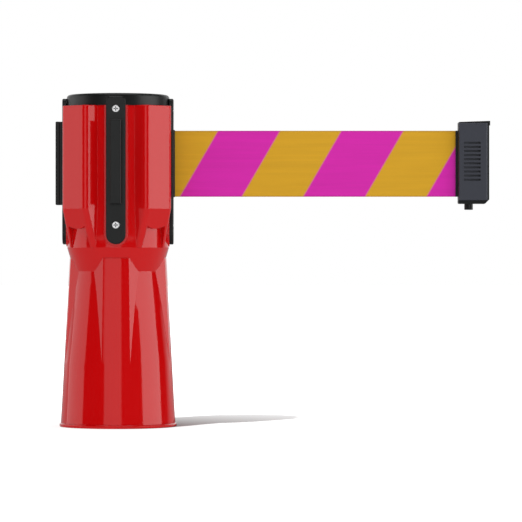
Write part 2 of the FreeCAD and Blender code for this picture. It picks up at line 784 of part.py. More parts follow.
def cassette_cover():
    """A disc on the posts that holds the upper ends of the shaft and the guide pins."""
    depth = ("cover_foot - 1", "cover_top + 1")
    holes = [rod("cover_shaft_hole", "shaft_radius + seat_clearance", depth)]
    for side in ("-", ""):
        holes.append(rod(f"cover_pin_hole{len(holes)}", "guide_pin_radius + seat_clearance", depth,
                         "guide_distance", f"{side}guide_offset"))
    for index, (x, y) in enumerate(post_places()):
        holes.append(rod(f"cover_hole_{index}", "small_screw_radius + screw_clearance", depth, x, y))
    return cut("cassette_cover", rod("cover_disc", "base_radius", ("cover_foot", "cover_top")), holes)


def cassette_screws():
    blank = screw("cassette_screw", "small_screw_radius", "small_head_radius", "small_head_height",
                  "small_screw_length")
    copies = [placed_copy(blank, f"cassette_screw_{index}",
                          Placement(Vector(number(x), number(y), number("cover_top")), Rotation()))
              for index, (x, y) in enumerate(post_places())]
    return group("cassette_screws", copies)


def reel_shaft():
    """A fixed steel shaft with a groove for the clip and a slot for the spring's inner end."""
    level = ("clip_foot", "clip_foot + clip_thickness")
    beyond = ("clip_foot - 1", "clip_foot + clip_thickness + 1")
    shaft = rod("shaft_rod", "shaft_radius", ("base_top - shaft_seat", "cover_top"))
    groove = cut("shaft_groove", rod("groove_outer", "shaft_radius + 1", level),
                 [rod("groove_inner", "shaft_radius - clip_groove", beyond)])
    slot = middle_block("shaft_slot", ("0", "shaft_radius + 1"), "2 * spring_strip",
                        ("spring_foot - 0.5", "spring_foot + spring_width + 0.5"))
    return cut("reel_shaft", shaft, [groove, slot])


def shaft_clip():
    """An open retaining ring in the shaft's groove, above the reel."""
    level = ("clip_foot", "clip_foot + clip_thickness")
    beyond = ("clip_foot - 1", "clip_foot + clip_thickness + 1")
    ring = rod("clip_ring", "clip_radius", level)
    eye = rod("clip_eye", "shaft_radius - clip_groove + seat_clearance", beyond)
    mouth = middle_block("clip_mouth", ("0", "clip_radius + 1"),
                         "clip_opening * (shaft_radius - clip_groove)", beyond)
    return cut("shaft_clip", ring, [eye, mouth])


def guide_pins():
    level = ("guide_seat_top - guide_seat_depth", "cover_top")
    return group("guide_pins", [
        rod("front_guide_pin", "guide_pin_radius", level, "guide_distance", "-guide_offset"),
        rod("rear_guide_pin", "guide_pin_radius", level, "guide_distance", "guide_offset")])


keep("cassette_base", cassette_base())
keep("cassette_cover", cassette_cover())
keep("cassette_screws", cassette_screws())
keep("reel_shaft", reel_shaft())
keep("shaft_clip", shaft_clip())
keep("guide_pins", guide_pins())


# ---------------------------------------------------------------- reel
def reel():
    """Hub, lower flange and the drum under it that holds the clock spring."""
    bore = "shaft_radius + running_clearance"
    hub_inner = "hub_radius - hub_wall"
    wheel = new_body("reel_wheel")
    turn(wheel, "reel_turning", [
        (bore, "flange_foot"), ("flange_radius - drum_wall", "flange_foot"),
        ("flange_radius - drum_wall", "drum_foot"), ("flange_radius", "drum_foot"),
        ("flange_radius", "reel_floor"), ("hub_radius", "reel_floor"), ("hub_radius", "upper_flange_foot"),
        (hub_inner, "upper_flange_foot"), (hub_inner, "reel_floor"), (bore, "reel_floor")])
    slot = block("anchor_slot_cut", ("-hub_radius - 1", "-hub_radius + hub_wall + 1"),
                 ("anchor_pin_radius", "anchor_pin_radius + anchor_slot"),
                 ("reel_floor", "upper_flange_foot + 1"))
    return cut("reel", wheel, [slot])


def reel_upper_flange():
    """A disc whose plug fits in the top of the hub."""
    bore = "shaft_radius + running_clearance"
    plug = "hub_radius - hub_wall - seat_clearance"
    disc = new_body("upper_flange")
    turn(disc, "upper_flange_turning", [
        (bore, "upper_flange_foot - hub_plug_depth"), (plug, "upper_flange_foot - hub_plug_depth"),
        (plug, "upper_flange_foot"), ("flange_radius", "upper_flange_foot"),
        ("flange_radius", "upper_flange_top"), (bore, "upper_flange_top")])
    return disc


def spring_cover():
    """The lid pressed in the drum's mouth."""
    disc = rod("lid_disc", "flange_radius - drum_wall - seat_clearance",
               ("drum_foot", "drum_foot + drum_lid"))
    bore = rod("lid_bore", "shaft_radius + running_clearance",
               ("drum_foot - 1", "drum_foot + drum_lid + 1"))
    return cut("spring_cover", disc, [bore])


def clock_spring():
    """A flat strip wound in half turns about two centres, from the shaft out to the drum wall."""
    strip = number("spring_strip")
    start = number("shaft_radius + seat_clearance")
    room = number("flange_radius - drum_wall - seat_clearance") - strip - start
    halves = int(2 * number("spring_turns"))
    step = room / halves

    def half_turn(index, extra):
        centre = Vector(step * (index % 2), 0, 0)
        radius = start + step * index + extra
        side = 1 if index % 2 == 0 else -1
        return Part.Arc(centre + Vector(side * radius, 0, 0), centre + Vector(0, side * radius, 0),
                        centre - Vector(side * radius, 0, 0)).toShape()

    inner = [half_turn(index, 0) for index in range(halves)]
    outer = [half_turn(index, strip) for index in range(halves)]
    first = Part.makeLine(Vector(start, 0, 0), Vector(start + strip, 0, 0))
    far = step * ((halves - 1) % 2) + (start + step * (halves - 1)) * (1 if halves % 2 == 0 else -1)
    last = Part.makeLine(Vector(far, 0, 0), Vector(far + strip * (1 if halves % 2 == 0 else -1), 0, 0))
    edges = inner + [last] + outer + [first]
    ring = Part.Wire(Part.__sortEdges__(edges))
    spring = doc.addObject("Part::Feature", "clock_spring")
    spring.Shape = Part.Face(ring).extrude(Vector(0, 0, number("spring_width")))
    spring.Placement = Placement(Vector(0, 0, number("spring_foot")), Rotation())
    return spring


def belt_roll():
    """The belt wound on the hub, with its inner end led through the hub to the anchor pin."""
    level = ("belt_foot", "belt_top")
    wound = cut("wound_belt", rod("roll_outer", "roll_radius", level),
                [rod("roll_inner", "hub_radius + seat_clearance", ("belt_foot - 1", "belt_top + 1"))])
    middle = "anchor_pin_radius + anchor_slot / 2"
    tail = block("belt_tail", ("-hub_radius - 1", "-hub_radius + hub_wall + 2 * anchor_pin_radius"),
                 (f"{middle} - webbing_thickness / 2", f"{middle} + webbing_thickness / 2"),
                 ("belt_foot", "upper_flange_foot - hub_plug_depth - webbing_side_gap"))
    return fuse("belt_roll", [wound, tail])


def belt_anchor_pin():
    return rod("belt_anchor_pin", "anchor_pin_radius",
               ("reel_floor", "upper_flange_foot - hub_plug_depth"),
               "-hub_radius + hub_wall + anchor_pin_radius + seat_clearance", "0")


keep("reel", reel())
keep("reel_upper_flange", reel_upper_flange())
keep("spring_cover", spring_cover())
keep("clock_spring", clock_spring())
keep("belt_roll", belt_roll())
keep("belt_anchor_pin", belt_anchor_pin())


# ---------------------------------------------------------------- belt between roll and mouth
def belt_feed():
    """The stretch that leaves the roll, turns on the rear guide pin and enters the mouth."""
    half = number("webbing_thickness") / 2
    roll = number("roll_radius + running_gap") + half
    turn_radius = number("guide_offset")
    pin = Vector(number("guide_distance"), turn_radius, 0)
    lean = math.atan2(pin.y, pin.x) + math.acos((roll + turn_radius) / pin.Length)
    outward = Vector(math.cos(lean), math.sin(lean), 0)
    finish = number("plate_face")

    def side(offset):
        """One face of the belt; a positive offset is the face away from the roll."""
        leaves_roll = outward * (roll + offset)
        meets_pin = pin - outward * (turn_radius - offset)
        leaves_pin = pin - Vector(0, turn_radius - offset, 0)
        middle = pin - (outward + Vector(0, 1, 0)).normalize() * (turn_radius - offset)
        return [Part.makeLine(leaves_roll, meets_pin), Part.Arc(meets_pin, middle, leaves_pin).toShape(),
                Part.makeLine(leaves_pin, Vector(finish, leaves_pin.y, 0))]

    inner = side(-half)
    outer = side(half)
    ends = [Part.makeLine(inner[0].Vertexes[0].Point, outer[0].Vertexes[0].Point),
            Part.makeLine(inner[-1].Vertexes[-1].Point, outer[-1].Vertexes[-1].Point)]
    ring = Part.Wire(Part.__sortEdges__(inner + outer + ends))
    feed = doc.addObject("Part::Feature", "belt_feed")
    feed.Shape = Part.Face(ring).extrude(Vector(0, 0, number("webbing_width")))
    feed.Placement = Placement(Vector(0, 0, number("belt_foot")), Rotation())
    return feed


keep("belt_feed", belt_feed())


# ---------------------------------------------------------------- belt end
def belt_run():
    """The drawn belt, from the mouth to its loop round the clamp pin."""
    level = ("belt_foot", "belt_top")
    beyond = ("belt_foot - 1", "belt_top + 1")
    bore = "clamp_pin_radius + seat_clearance"
    loop = cut("belt_loop", rod("loop_outer", f"{bore} + webbing_thickness", level, "clamp_x"),
               [rod("loop_inner", bore, beyond, "clamp_x")])
    strip = middle_block("belt_strip", ("plate_face + running_gap",
                                        f"clamp_x - ({bore} + webbing_thickness / 2)"),
                         "webbing_thickness", level)
    return fuse("belt_run", [strip, loop])


def belt_end_core():
    """The black body: jaws that grip the belt and a slot that slides down over a receiver's rail."""
    body = new_body("belt_end_core")
    half = "core_thickness / 2"
    pad(body, "core_block", "XZ_Plane", [
        ("grip_left", "grip_foot"), ("grip_right - core_chamfer", "grip_foot"),
        ("grip_right", "grip_foot + core_chamfer"), ("grip_right", "grip_top - lip_height"),
        ("grip_right + lip_proud", "grip_top - lip_height"), ("grip_right + lip_proud", "grip_top"),
        ("grip_left", "grip_top - grip_fall")], f"-{half}", half)
    left = number("grip_left")
    soften(body, "core_edge", "grip_round", lambda edge: lies_at(edge, "x", left))
    pad(body, "core_collar", "XZ_Plane",
        rectangle(("collar_left", "grip_left + 2"), ("belt_foot", "belt_top")),
        "-collar_thickness / 2", "collar_thickness / 2")
    pocket(body, "rail_neck_slot", "XY_Plane",
           rectangle(("slot_back + 1", "grip_right + 2"),
                     ("-rail_stem_width / 2 - slot_clearance", "rail_stem_width / 2 + slot_clearance")),
           "grip_foot - 1", "grip_top - slot_roof")
    pocket(body, "rail_head_slot", "XY_Plane",
           rectangle(("slot_back", "slot_neck"),
                     ("-rail_width / 2 - slot_clearance", "rail_width / 2 + slot_clearance")),
           "grip_foot - 1", "grip_top - slot_roof")
    belt_room = ("belt_foot - mouth_end_gap", "belt_top + mouth_end_gap")
    pocket(body, "belt_slot_cut", "XZ_Plane", rectangle(("collar_left - 1", "clamp_x"), belt_room),
           "-belt_slot / 2", "belt_slot / 2")
    pocket(body, "clamp_bore_cut", "XY_Plane", circle_at("clamp_x", "0", "clamp_bore"), *belt_room)
    pocket(body, "clamp_pin_hole", "XY_Plane",
           circle_at("clamp_x", "0", "clamp_pin_radius + seat_clearance"),
           "belt_foot - clamp_pin_rise", "belt_top + clamp_pin_rise")
    chamber_half = "collar_radius + plunger_clearance"
    pocket(body, "plunger_chamber_cut", "XZ_Plane",
           rectangle((f"plunger_x - ({chamber_half})", f"plunger_x + ({chamber_half})"),
                     ("chamber_foot", "chamber_top")), f"-({chamber_half})", f"{half} + 1")
    pocket(body, "plunger_hole", "XY_Plane",
           circle_at("plunger_x", "0", "plunger_radius + plunger_clearance"),
           "grip_foot - 1", "chamber_foot + 1")
    for index, side in enumerate(("-", "+")):
        pocket(body, f"grip_screw_hole_{index}", "XZ_Plane",
               circle_at("grip_screw_x", f"belt_middle {side} grip_screw_spread / 2",
                         "small_screw_radius + screw_clearance"), f"-{half} - 1", f"{half} + 1")
    return body


def grip_cover(name, drilled):
    """A cover on the core's front, its grooves deeper to the right; the drilled one takes screws."""
    inner = "core_thickness / 2"
    outer = "core_thickness / 2 + cover_depth"
    cover = new_body(name)
    pad(cover, name + "_shell", "XZ_Plane",
        rectangle(("grip_left + cover_left_margin", "grip_right - cover_right_margin"),
                  ("grip_foot + cover_foot_margin", "grip_top - cover_top_margin")), inner, outer)
    face = -number(outer)
    soften(cover, name + "_edge", "cover_round", lambda edge: lies_at(edge, "y", face))
    groove_left = "grip_left + groove_inset"
    groove_right = "grip_left + groove_inset + groove_length"
    wedge = [(groove_left, f"-({outer}) - 1"), (groove_right, f"-({outer}) - 1"),
             (groove_right, f"-({outer}) + groove_deep"), (groove_left, f"-({outer}) + groove_shallow")]
    for index in range(int(number("groove_count"))):
        middle = f"belt_middle + groove_rise - {index} * groove_pitch"
        pocket(cover, f"{name}_groove_{index}", "XY_Plane", wedge,
               f"{middle} - groove_height / 2", f"{middle} + groove_height / 2")
    for index, side in enumerate(("-", "+")):
        height = f"belt_middle {side} grip_screw_spread / 2"
        if drilled:
            pocket(cover, f"{name}_hole_{index}", "XZ_Plane",
                   circle_at("grip_screw_x", height, "small_screw_radius + screw_clearance"),
                   f"{inner} - 1", f"{outer} + 1")
            pocket(cover, f"{name}_seat_{index}", "XZ_Plane",
                   circle_at("grip_screw_x", height, "small_head_radius + screw_clearance"),
                   f"{outer} - small_head_height", f"{outer} + 1")
    return cover


def rear_grip_cover():
    """The front cover's twin, turned to the back by reflection in the belt's plane."""
    twin = doc.addObject("Part::Mirroring", "rear_grip_mirror")
    twin.Source = grip_cover("rear_grip", True)
    twin.Normal = Vector(0, 1, 0)
    return twin


def belt_end_screws():
    """Two screws from the rear cover into the core."""
    blank = screw("grip_screw", "small_screw_radius", "small_head_radius", "small_head_height",
                  "core_thickness")
    seat = number("core_thickness / 2 + cover_depth - small_head_height")
    facing_rear = Rotation(Vector(1, 0, 0), -90)
    copies = []
    for index, side in enumerate(("-", "+")):
        height = number(f"belt_middle {side} grip_screw_spread / 2")
        place = Placement(Vector(number("grip_screw_x"), seat, height), facing_rear)
        copies.append(placed_copy(blank, f"grip_screw_{index}", place))
    return group("belt_end_screws", copies)


def release_plunger():
    """A fluted pin that stands out of the belt end's foot, held by a collar in its chamber."""
    pin = new_body("plunger_pin")
    turn(pin, "plunger_turning", [
        ("0", "plunger_foot"), ("plunger_radius - 0.5", "plunger_foot", "0.5"),
        ("plunger_radius", "plunger_foot + 0.5"), ("plunger_radius", "collar_foot"),
        ("collar_radius", "collar_foot"), ("collar_radius", "collar_top"), ("0", "collar_top")])
    flutes = [rod(f"plunger_flute_{index}", "plunger_flute",
                  ("plunger_foot - 1", "grip_foot - plunger_flute"),
                  f"plunger_x + plunger_radius * cos(360 * ({index} + 0.5) / plunger_flutes)",
                  f"plunger_radius * sin(360 * ({index} + 0.5) / plunger_flutes)")
              for index in range(int(number("plunger_flutes")))]
    bind(pin, Placement__Base__x="plunger_x")
    return cut("release_plunger", pin, flutes)


def plunger_spring():
    """A coil between the plunger's collar and the roof of its chamber."""
    coil = new_body("plunger_spring")
    reach = "coil_radius"
    foot = "collar_top + coil_wire / 2 + seat_clearance"
    sketch = outline(coil, "coil_section", "XZ_Plane",
                     circle_at(reach, foot, "coil_wire / 2"))
    feature = coil.newObject("PartDesign::AdditiveHelix", "coil_helix")
    feature.Profile = sketch
    feature.ReferenceAxis = (sketch, ["V_Axis"])
    feature.Mode = 1
    bind(feature, Height="chamber_top - collar_top - coil_wire - 2 * seat_clearance",
         Turns="coil_turns")
    feature.Pitch = number("(chamber_top - collar_top - coil_wire) / coil_turns")
    doc.recompute()
    bind(coil, Placement__Base__x="plunger_x")
    return coil


keep("belt_run", belt_run())
keep("belt_end_core", belt_end_core())
keep("belt_end_front_cover", grip_cover("front_grip", False))
keep("belt_end_rear_cover", rear_grip_cover())
keep("belt_end_screws", belt_end_screws())
keep("belt_clamp_pin", rod("clamp_pin", "clamp_pin_radius",
                           ("belt_foot - clamp_pin_rise", "belt_top + clamp_pin_rise"), "clamp_x"))
keep("release_plunger", release_plunger())
keep("plunger_spring", plunger_spring())

# ---------------------------------------------------------------- check and write
doc.recompute()
for thing in doc.Objects:
    if "Invalid" in thing.State or "Error" in thing.State:
        raise RuntimeError(f"{thing.Label} did not compute")
for node, thing in SUBPARTS.items():
    if thing.Shape.isNull() or not thing.Shape.isValid():
        raise RuntimeError(f"{node} has no valid shape")
for node, thing in SUBPARTS.items():
    thing.Shape.exportStep(f"parts/{node}.step")
    print(f"{node:22s} {len(thing.Shape.Solids)} solid(s) {thing.Shape.Volume / 1000:9.3f} cm3")
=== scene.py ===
"""Looks of the cone-top retractable belt barrier head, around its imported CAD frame.  Metres."""
import json
import math

import bmesh
import bpy
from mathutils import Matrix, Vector

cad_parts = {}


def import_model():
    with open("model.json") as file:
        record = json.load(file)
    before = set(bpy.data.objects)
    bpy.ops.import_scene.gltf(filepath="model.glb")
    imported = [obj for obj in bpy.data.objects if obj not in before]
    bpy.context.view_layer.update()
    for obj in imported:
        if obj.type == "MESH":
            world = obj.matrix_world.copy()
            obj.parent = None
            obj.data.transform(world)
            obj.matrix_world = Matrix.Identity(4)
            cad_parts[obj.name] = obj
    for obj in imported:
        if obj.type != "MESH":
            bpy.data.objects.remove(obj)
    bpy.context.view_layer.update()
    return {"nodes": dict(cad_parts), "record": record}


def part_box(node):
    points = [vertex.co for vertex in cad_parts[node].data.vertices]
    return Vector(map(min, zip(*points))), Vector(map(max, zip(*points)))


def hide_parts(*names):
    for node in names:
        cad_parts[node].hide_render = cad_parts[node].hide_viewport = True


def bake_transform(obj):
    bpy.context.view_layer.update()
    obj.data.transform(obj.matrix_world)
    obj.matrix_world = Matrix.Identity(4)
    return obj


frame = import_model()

NODES = frame["nodes"]
MM = 0.001


# ---------------------------------------------------------------- node helpers
NOISE_LOW, NOISE_HIGH = 0.3, 0.7    # most of a noise texture lies between these
EDGE_NONE, EDGE_FULL = 0.97, 0.75   # cosine between the flat and the rounded normal


class Tree:
    """A node tree, with short calls for the nodes used here."""

    def __init__(self, tree):
        self.tree = tree

    def node(self, kind, inputs=(), **settings):
        made = self.tree.nodes.new(kind)
        for key, value in settings.items():
            setattr(made, key, value)
        for key, value in dict(inputs).items():
            self.feed(made.inputs[key], value)
        return made

    def feed(self, socket, value):
        if isinstance(value, bpy.types.NodeSocket):
            self.tree.links.new(value, socket)
        else:
            socket.default_value = value

    def math(self, operation, *values):
        return self.node("ShaderNodeMath", dict(enumerate(values)), operation=operation).outputs[0]

    def span(self, value, low, high, to_low, to_high):
        return self.node("ShaderNodeMapRange", {"Value": value, "From Min": low, "From Max": high,
                                                "To Min": to_low, "To Max": to_high}).outputs[0]


class Shader(Tree):
    """A new material whose surface is a Principled BSDF."""

    def __init__(self, name):
        self.material = bpy.data.materials.new(name)
        self.material.use_nodes = True
        super().__init__(self.material.node_tree)
        self.surface = self.tree.nodes["Principled BSDF"]

    def place(self):
        """The point on the object, in metres."""
        return self.node("ShaderNodeTexCoord").outputs["Object"]

    def stretched(self, scale):
        return self.node("ShaderNodeMapping", {"Vector": self.place(), "Scale": scale}).outputs["Vector"]

    def noise(self, scale, detail, vector=None):
        inputs = {"Vector": vector or self.place(), "Scale": scale, "Detail": detail}
        return self.node("ShaderNodeTexNoise", inputs).outputs["Fac"]

    def from_noise(self, value, to_low, to_high):
        """A noise spread over the given range."""
        return self.span(value, NOISE_LOW, NOISE_HIGH, to_low, to_high)

    def blend_colour(self, factor, first, second):
        made = self.node("ShaderNodeMix", data_type="RGBA")
        self.feed(made.inputs["Factor"], factor)
        self.feed(made.inputs[6], first)
        self.feed(made.inputs[7], second)
        return made.outputs[2]

    def bump(self, height, strength, distance, normal=None):
        inputs = {"Height": height, "Strength": strength, "Distance": distance}
        if normal is not None:
            inputs["Normal"] = normal
        return self.node("ShaderNodeBump", inputs).outputs["Normal"]

    def rounded(self, radius):
        """A normal that turns over sharp edges, as a moulded edge does."""
        return self.node("ShaderNodeBevel", {"Radius": radius}, samples=6).outputs["Normal"]

    def edge_mask(self, radius):
        """One along sharp edges and nothing elsewhere."""
        soft = self.rounded(radius)
        flat = self.node("ShaderNodeNewGeometry").outputs["Normal"]
        facing = self.node("ShaderNodeVectorMath", {0: soft, 1: flat},
                           operation="DOT_PRODUCT").outputs["Value"]
        return self.span(facing, EDGE_NONE, EDGE_FULL, 0.0, 1.0)

    def openness(self, distance, closed, open_):
        """One on open faces and nothing inside grooves and holes: the mask for painted shade."""
        light = self.node("ShaderNodeAmbientOcclusion", {"Distance": distance}, samples=8).outputs["AO"]
        return self.span(light, closed, open_, 0.0, 1.0)

    def finish(self, colour, roughness, normal, **constants):
        self.feed(self.surface.inputs["Base Color"], colour)
        self.feed(self.surface.inputs["Roughness"], roughness)
        self.feed(self.surface.inputs["Normal"], normal)
        for name, value in constants.items():
            self.surface.inputs[name.replace("_", " ")].default_value = value
        return self.material


def rgb(red, green, blue):
    return (red, green, blue, 1.0)


def shade(colour, share):
    return rgb(*[part * share for part in colour])


# ---------------------------------------------------------------- materials
DRIFT_SCALE = 22.0                  # slow change of colour and gloss over a moulding
SPECK_SCALE = 900.0                 # fine change of gloss
EDGE_HIGHLIGHT_AND_WEAR = 0.35                         # share of the edge colour on sharp edges: a painted highlight, and wear
GRAIN_DEPTH = 0.12                  # of the grain's size
GLOSS_SPREAD = (0.9, 1.12)          # shares of the roughness that the drift runs between
SPECK_RANGE = (0.35, 0.65)
SPECK_GLOSS = 0.02
CAVITY_SHADE_REACH = 1.6 * MM           # painted shade: a cavity is painted darker where other faces are nearer than this
MOULDED_OPEN = (0.40, 0.75)         # openness over which the painted shade of a cavity gives way to the open face's colour
DRAWN_SCALE = 600.0
DRAWN_STRETCH = (1.0, 1.0, 6.0)
DRAWN_SHADE = 0.86
STEEL_SPREAD = (0.75, 1.3)
STEEL_EDGE = 0.15 * MM
STEEL_SHADE_REACH = 1.2 * MM             # as the moulded cavities' reach, for the painted shade in steel recesses
STEEL_OPEN = (0.55, 0.95)
# share of the steel's colour left in its recesses by the painted shade
RECESS_SHADE = 0.10


def moulded(name, colour, edge_highlight_and_wear, roughness, grain_size, grain, edge=0.5 * MM, streak=0.03, cavity_shade=1.0,
            **constants):
    """Injection-moulded plastic: faint colour drift, grain, soft edges painted lighter as highlight and
    wear, and painted shade in cavities.
    """
    shader = Shader(name)
    drift = shader.noise(DRIFT_SCALE, 4.0)
    speck = shader.noise(SPECK_SCALE, 2.0)
    base = shader.blend_colour(shader.from_noise(drift, 0.0, 1.0),
                               shade(colour, 1 - streak), shade(colour, 1 + streak))
    # painted highlight: sharp edges take the lighter edge colour, as a highlight and as wear
    base = shader.blend_colour(shader.math("MULTIPLY", shader.edge_mask(edge), EDGE_HIGHLIGHT_AND_WEAR), base, rgb(*edge_highlight_and_wear))
    # painted shade: faces inside cavities take a darker copy of the colour, by ambient occlusion
    if cavity_shade < 1.0:
        base = shader.blend_colour(shader.openness(CAVITY_SHADE_REACH, *MOULDED_OPEN),
                                   shade(colour, cavity_shade), base)
    gloss = shader.math("ADD", shader.from_noise(drift, *[roughness * share for share in GLOSS_SPREAD]),
                        shader.span(speck, *SPECK_RANGE, -SPECK_GLOSS, SPECK_GLOSS))
    height = shader.noise(1.0 / grain_size, 2.0)
    normal = shader.bump(height, grain, grain_size * GRAIN_DEPTH, shader.rounded(edge))
    return shader.finish(base, gloss, normal, **constants)


def steel(name, colour, roughness):
    """Drawn or turned steel, with painted shade in its recesses."""
    shader = Shader(name)
    drawn = shader.noise(DRAWN_SCALE, 3.0, shader.stretched(DRAWN_STRETCH))
    base = shader.blend_colour(drawn, shade(colour, DRAWN_SHADE), rgb(*colour))
    # painted shade: recesses such as the screws' cross slots are painted nearly black
    base = shader.blend_colour(shader.openness(STEEL_SHADE_REACH, *STEEL_OPEN),
                               shade(colour, RECESS_SHADE), base)
    gloss = shader.from_noise(drawn, *[roughness * share for share in STEEL_SPREAD])
    normal = shader.bump(drawn, 0.12, 0.02 * MM, shader.rounded(STEEL_EDGE))
    return shader.finish(base, gloss, normal, Metallic=1.0)


STRIPE_START = 46.0 * MM
STRIPE_PITCH = 93.5 * MM
STRIPE_SHARE = 0.502                # of the pitch that is magenta
STRIPE_EDGE = 0.015                 # of the pitch, over which one colour turns into the other
STRIPE_LEAN = 29.0 / 50.0           # along the belt for each step up it
POSITIVE = 40.0                     # whole pitches added, so that the phase never starts below zero
RIB = 0.85 * MM
YARN = 1.25 * MM
RIB_RELIEF, YARN_RELIEF = 0.65, 0.22
STREAKS = (28.0, 28.0, 900.0)       # noise scales along X, Y and Z
BANDS = (9.0, 9.0, 210.0)
SELVEDGE = (0.2 * MM, 1.3 * MM)     # from the belt's edge, over which the tone rises to its own
SELVEDGE_TONE = 0.78
WEBBING_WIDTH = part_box("belt_run")[1][2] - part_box("belt_run")[0][2]
OCHRE = (0.665, 0.356, 0.0125)
MAGENTA = (0.672, 0.0145, 0.405)


def webbing():
    """Woven polyester: ribs and yarns, and slanted stripes that step from rib to rib."""
    shader = Shader("webbing")
    place = shader.node("ShaderNodeSeparateXYZ", {"Vector": shader.place()})
    along, up = place.outputs["X"], place.outputs["Z"]
    height = shader.math("SUBTRACT", up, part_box("belt_run")[0][2])
    # stripes
    stepped_up = shader.math("SNAP", height, RIB)
    stepped_along = shader.math("SNAP", along, YARN * 0.5)
    slant = shader.math("SUBTRACT", stepped_along, shader.math("MULTIPLY", stepped_up, STRIPE_LEAN))
    pitches = shader.math("DIVIDE", shader.math("SUBTRACT", slant, STRIPE_START), STRIPE_PITCH)
    phase = shader.math("FRACT", shader.math("ADD", pitches, POSITIVE))
    rising = shader.span(phase, 0.0, STRIPE_EDGE, 0.0, 1.0)
    falling = shader.span(phase, STRIPE_SHARE, STRIPE_SHARE + STRIPE_EDGE, 1.0, 0.0)
    striped = shader.math("MULTIPLY", rising, falling)
    # ribs and yarns
    turns_up = shader.math("MULTIPLY", height, 2 * math.pi / RIB)
    turns_along = shader.math("MULTIPLY", along, 2 * math.pi / YARN)
    rib = shader.math("ABSOLUTE", shader.math("SINE", shader.math("MULTIPLY", turns_up, 0.5)))
    offset = shader.math("MULTIPLY", shader.math("FLOOR", shader.math("DIVIDE", height, RIB)), math.pi)
    yarn = shader.math("SINE", shader.math("ADD", turns_along, offset))
    relief = shader.math("ADD", shader.math("MULTIPLY", rib, RIB_RELIEF),
                         shader.math("MULTIPLY", yarn, YARN_RELIEF))
    # tone
    streaks = shader.noise(1.0, 3.0, shader.stretched(STREAKS))
    bands = shader.noise(1.0, 2.0, shader.stretched(BANDS))
    # painted shade of the weave: raised ribs and yarns lighter than their hollows
    tone = shader.math("ADD", shader.from_noise(streaks, 0.95, 1.01), shader.math("MULTIPLY", relief, 0.05))
    tone = shader.math("MULTIPLY", tone, shader.from_noise(bands, 0.95, 1.04))
    from_edge = shader.math("MINIMUM", height, shader.math("SUBTRACT", WEBBING_WIDTH, height))
    tone = shader.math("MULTIPLY", tone, shader.span(from_edge, *SELVEDGE, SELVEDGE_TONE, 1.0))
    cloth = shader.blend_colour(striped, rgb(*OCHRE), rgb(*MAGENTA))
    tinted = shader.node("ShaderNodeVectorMath", {0: cloth, "Scale": tone}, operation="SCALE").outputs[0]
    gloss = shader.span(relief, -0.2, 0.9, 0.85, 0.62)
    normal = shader.bump(relief, 0.5, 0.08 * MM)
    return shader.finish(tinted, gloss, normal, Sheen_Weight=0.12, Sheen_Roughness=0.4,
                         Specular_IOR_Level=0.25)


# each moulded plastic's second colour is its edge colour: painted highlight and wear
MATERIALS = {
    "red_plastic": moulded("red_plastic", (0.585, 0.0020, 0.0028), (0.56, 0.012, 0.012), 0.09,
                           2.2 * MM, 0.02, edge=0.6 * MM, streak=0.015),
    "black_plastic": moulded("black_plastic", (0.0050, 0.0062, 0.0062), (0.03, 0.03, 0.03), 0.33,
                             0.45 * MM, 0.25, Specular_IOR_Level=0.38),
    # the grey plastic's grooves are painted darker as shade
    "grey_plastic": moulded("grey_plastic", (0.0313, 0.0349, 0.0505), (0.12, 0.13, 0.16), 0.46,
                            0.40 * MM, 0.40, cavity_shade=0.30),
    "inner_plastic": moulded("inner_plastic", (0.09, 0.09, 0.09), (0.16, 0.16, 0.16), 0.40,
                             0.60 * MM, 0.20),
    "bright_steel": steel("bright_steel", (0.95, 0.95, 0.96), 0.18),
    "spring_steel": steel("spring_steel", (0.32, 0.33, 0.36), 0.30),
    "webbing": webbing(),
}
for entry in frame["record"]["subparts"]:
    slots = NODES[entry["node"]].data.materials
    slots.clear()
    slots.append(MATERIALS[entry["material_slot"]])


# ---------------------------------------------------------------- drawn belt
BELT_COLUMNS = 320
BELT_ROWS = 50
BELT_HALF = 0.25 * MM               # half of the belt's thickness
BEAD_HEIGHT = 0.10 * MM             # thicker weave beside each edge
BEAD_INSET = 0.9 * MM
BEAD_WIDTH = 0.7 * MM
RIM_SHARE = 0.55                    # of the thickness that is left at the very edge
RIPPLE = 0.22 * MM
WAVE_X, WAVE_Z = 61.0, 34.0         # radians in a metre, of the ripple's two crossing waves
CROSS_X, CROSS_Z = 19.0, 83.0
HELD_POWER = 0.5                    # how quickly the ripple grows away from the held ends


